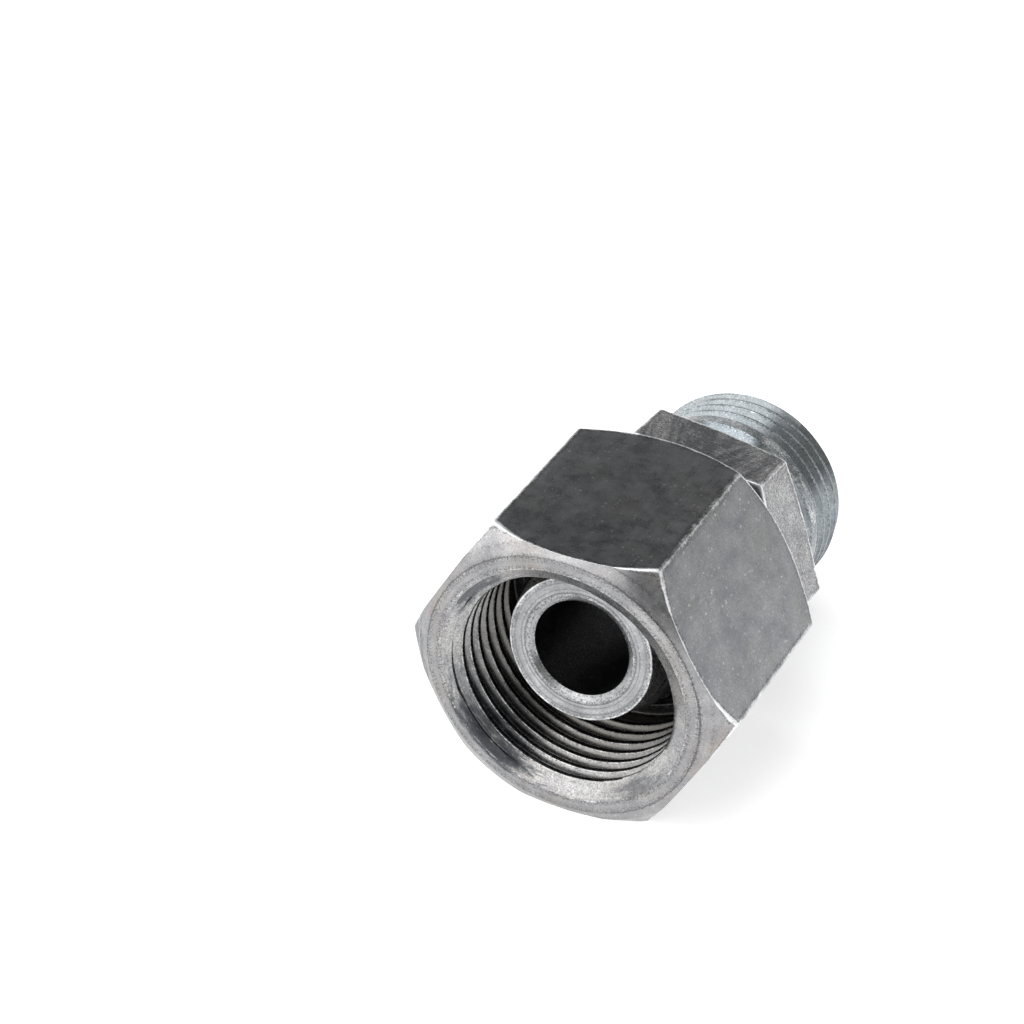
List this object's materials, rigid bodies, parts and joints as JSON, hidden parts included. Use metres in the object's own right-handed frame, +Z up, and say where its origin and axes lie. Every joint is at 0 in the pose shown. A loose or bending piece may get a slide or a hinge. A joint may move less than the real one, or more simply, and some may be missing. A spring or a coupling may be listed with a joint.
{
  "type": "straight hydraulic fitting",
  "caption": "Straight zinc-plated steel hydraulic fitting with a male stud end for tube and a swivel union nut over a coned nipple with an O-ring.",
  "frame": {"origin": "middle of the nut's lower flat, on which the fitting lies", "axes": "+Y along the nut's axis from its mouth to the stud end, +Z up, +X across the nut's side corners"},
  "size_m": [0.031, 0.0417, 0.027],
  "materials": {
    "nut_steel": "satin zinc plating",
    "body_steel": "satin zinc plating on turned steel",
    "spring_steel": "drawn wire",
    "seal_rubber": "smooth moulded"
  },
  "bodies": {
    "nut": {"swivel_nut": "nut_steel"},
    "ring": {"retaining_ring": "spring_steel"},
    "fitting": {"fitting_body": "body_steel", "o_ring": "seal_rubber"}
  },
  "joints": [
    {"name": "nut_tilt", "type": "hinge", "parent": "nut", "child": "ring", "pos_m": [0, 0.0065, 0.0135], "axis": [1, 0, 0], "range_deg": [0, 14.4]},
    {"name": "nut_spin", "type": "hinge", "parent": "ring", "child": "fitting", "pos_m": [0, 0.0065, 0.0135], "axis": [0, 0.9921, -0.1253], "continuous": true}
  ]
}
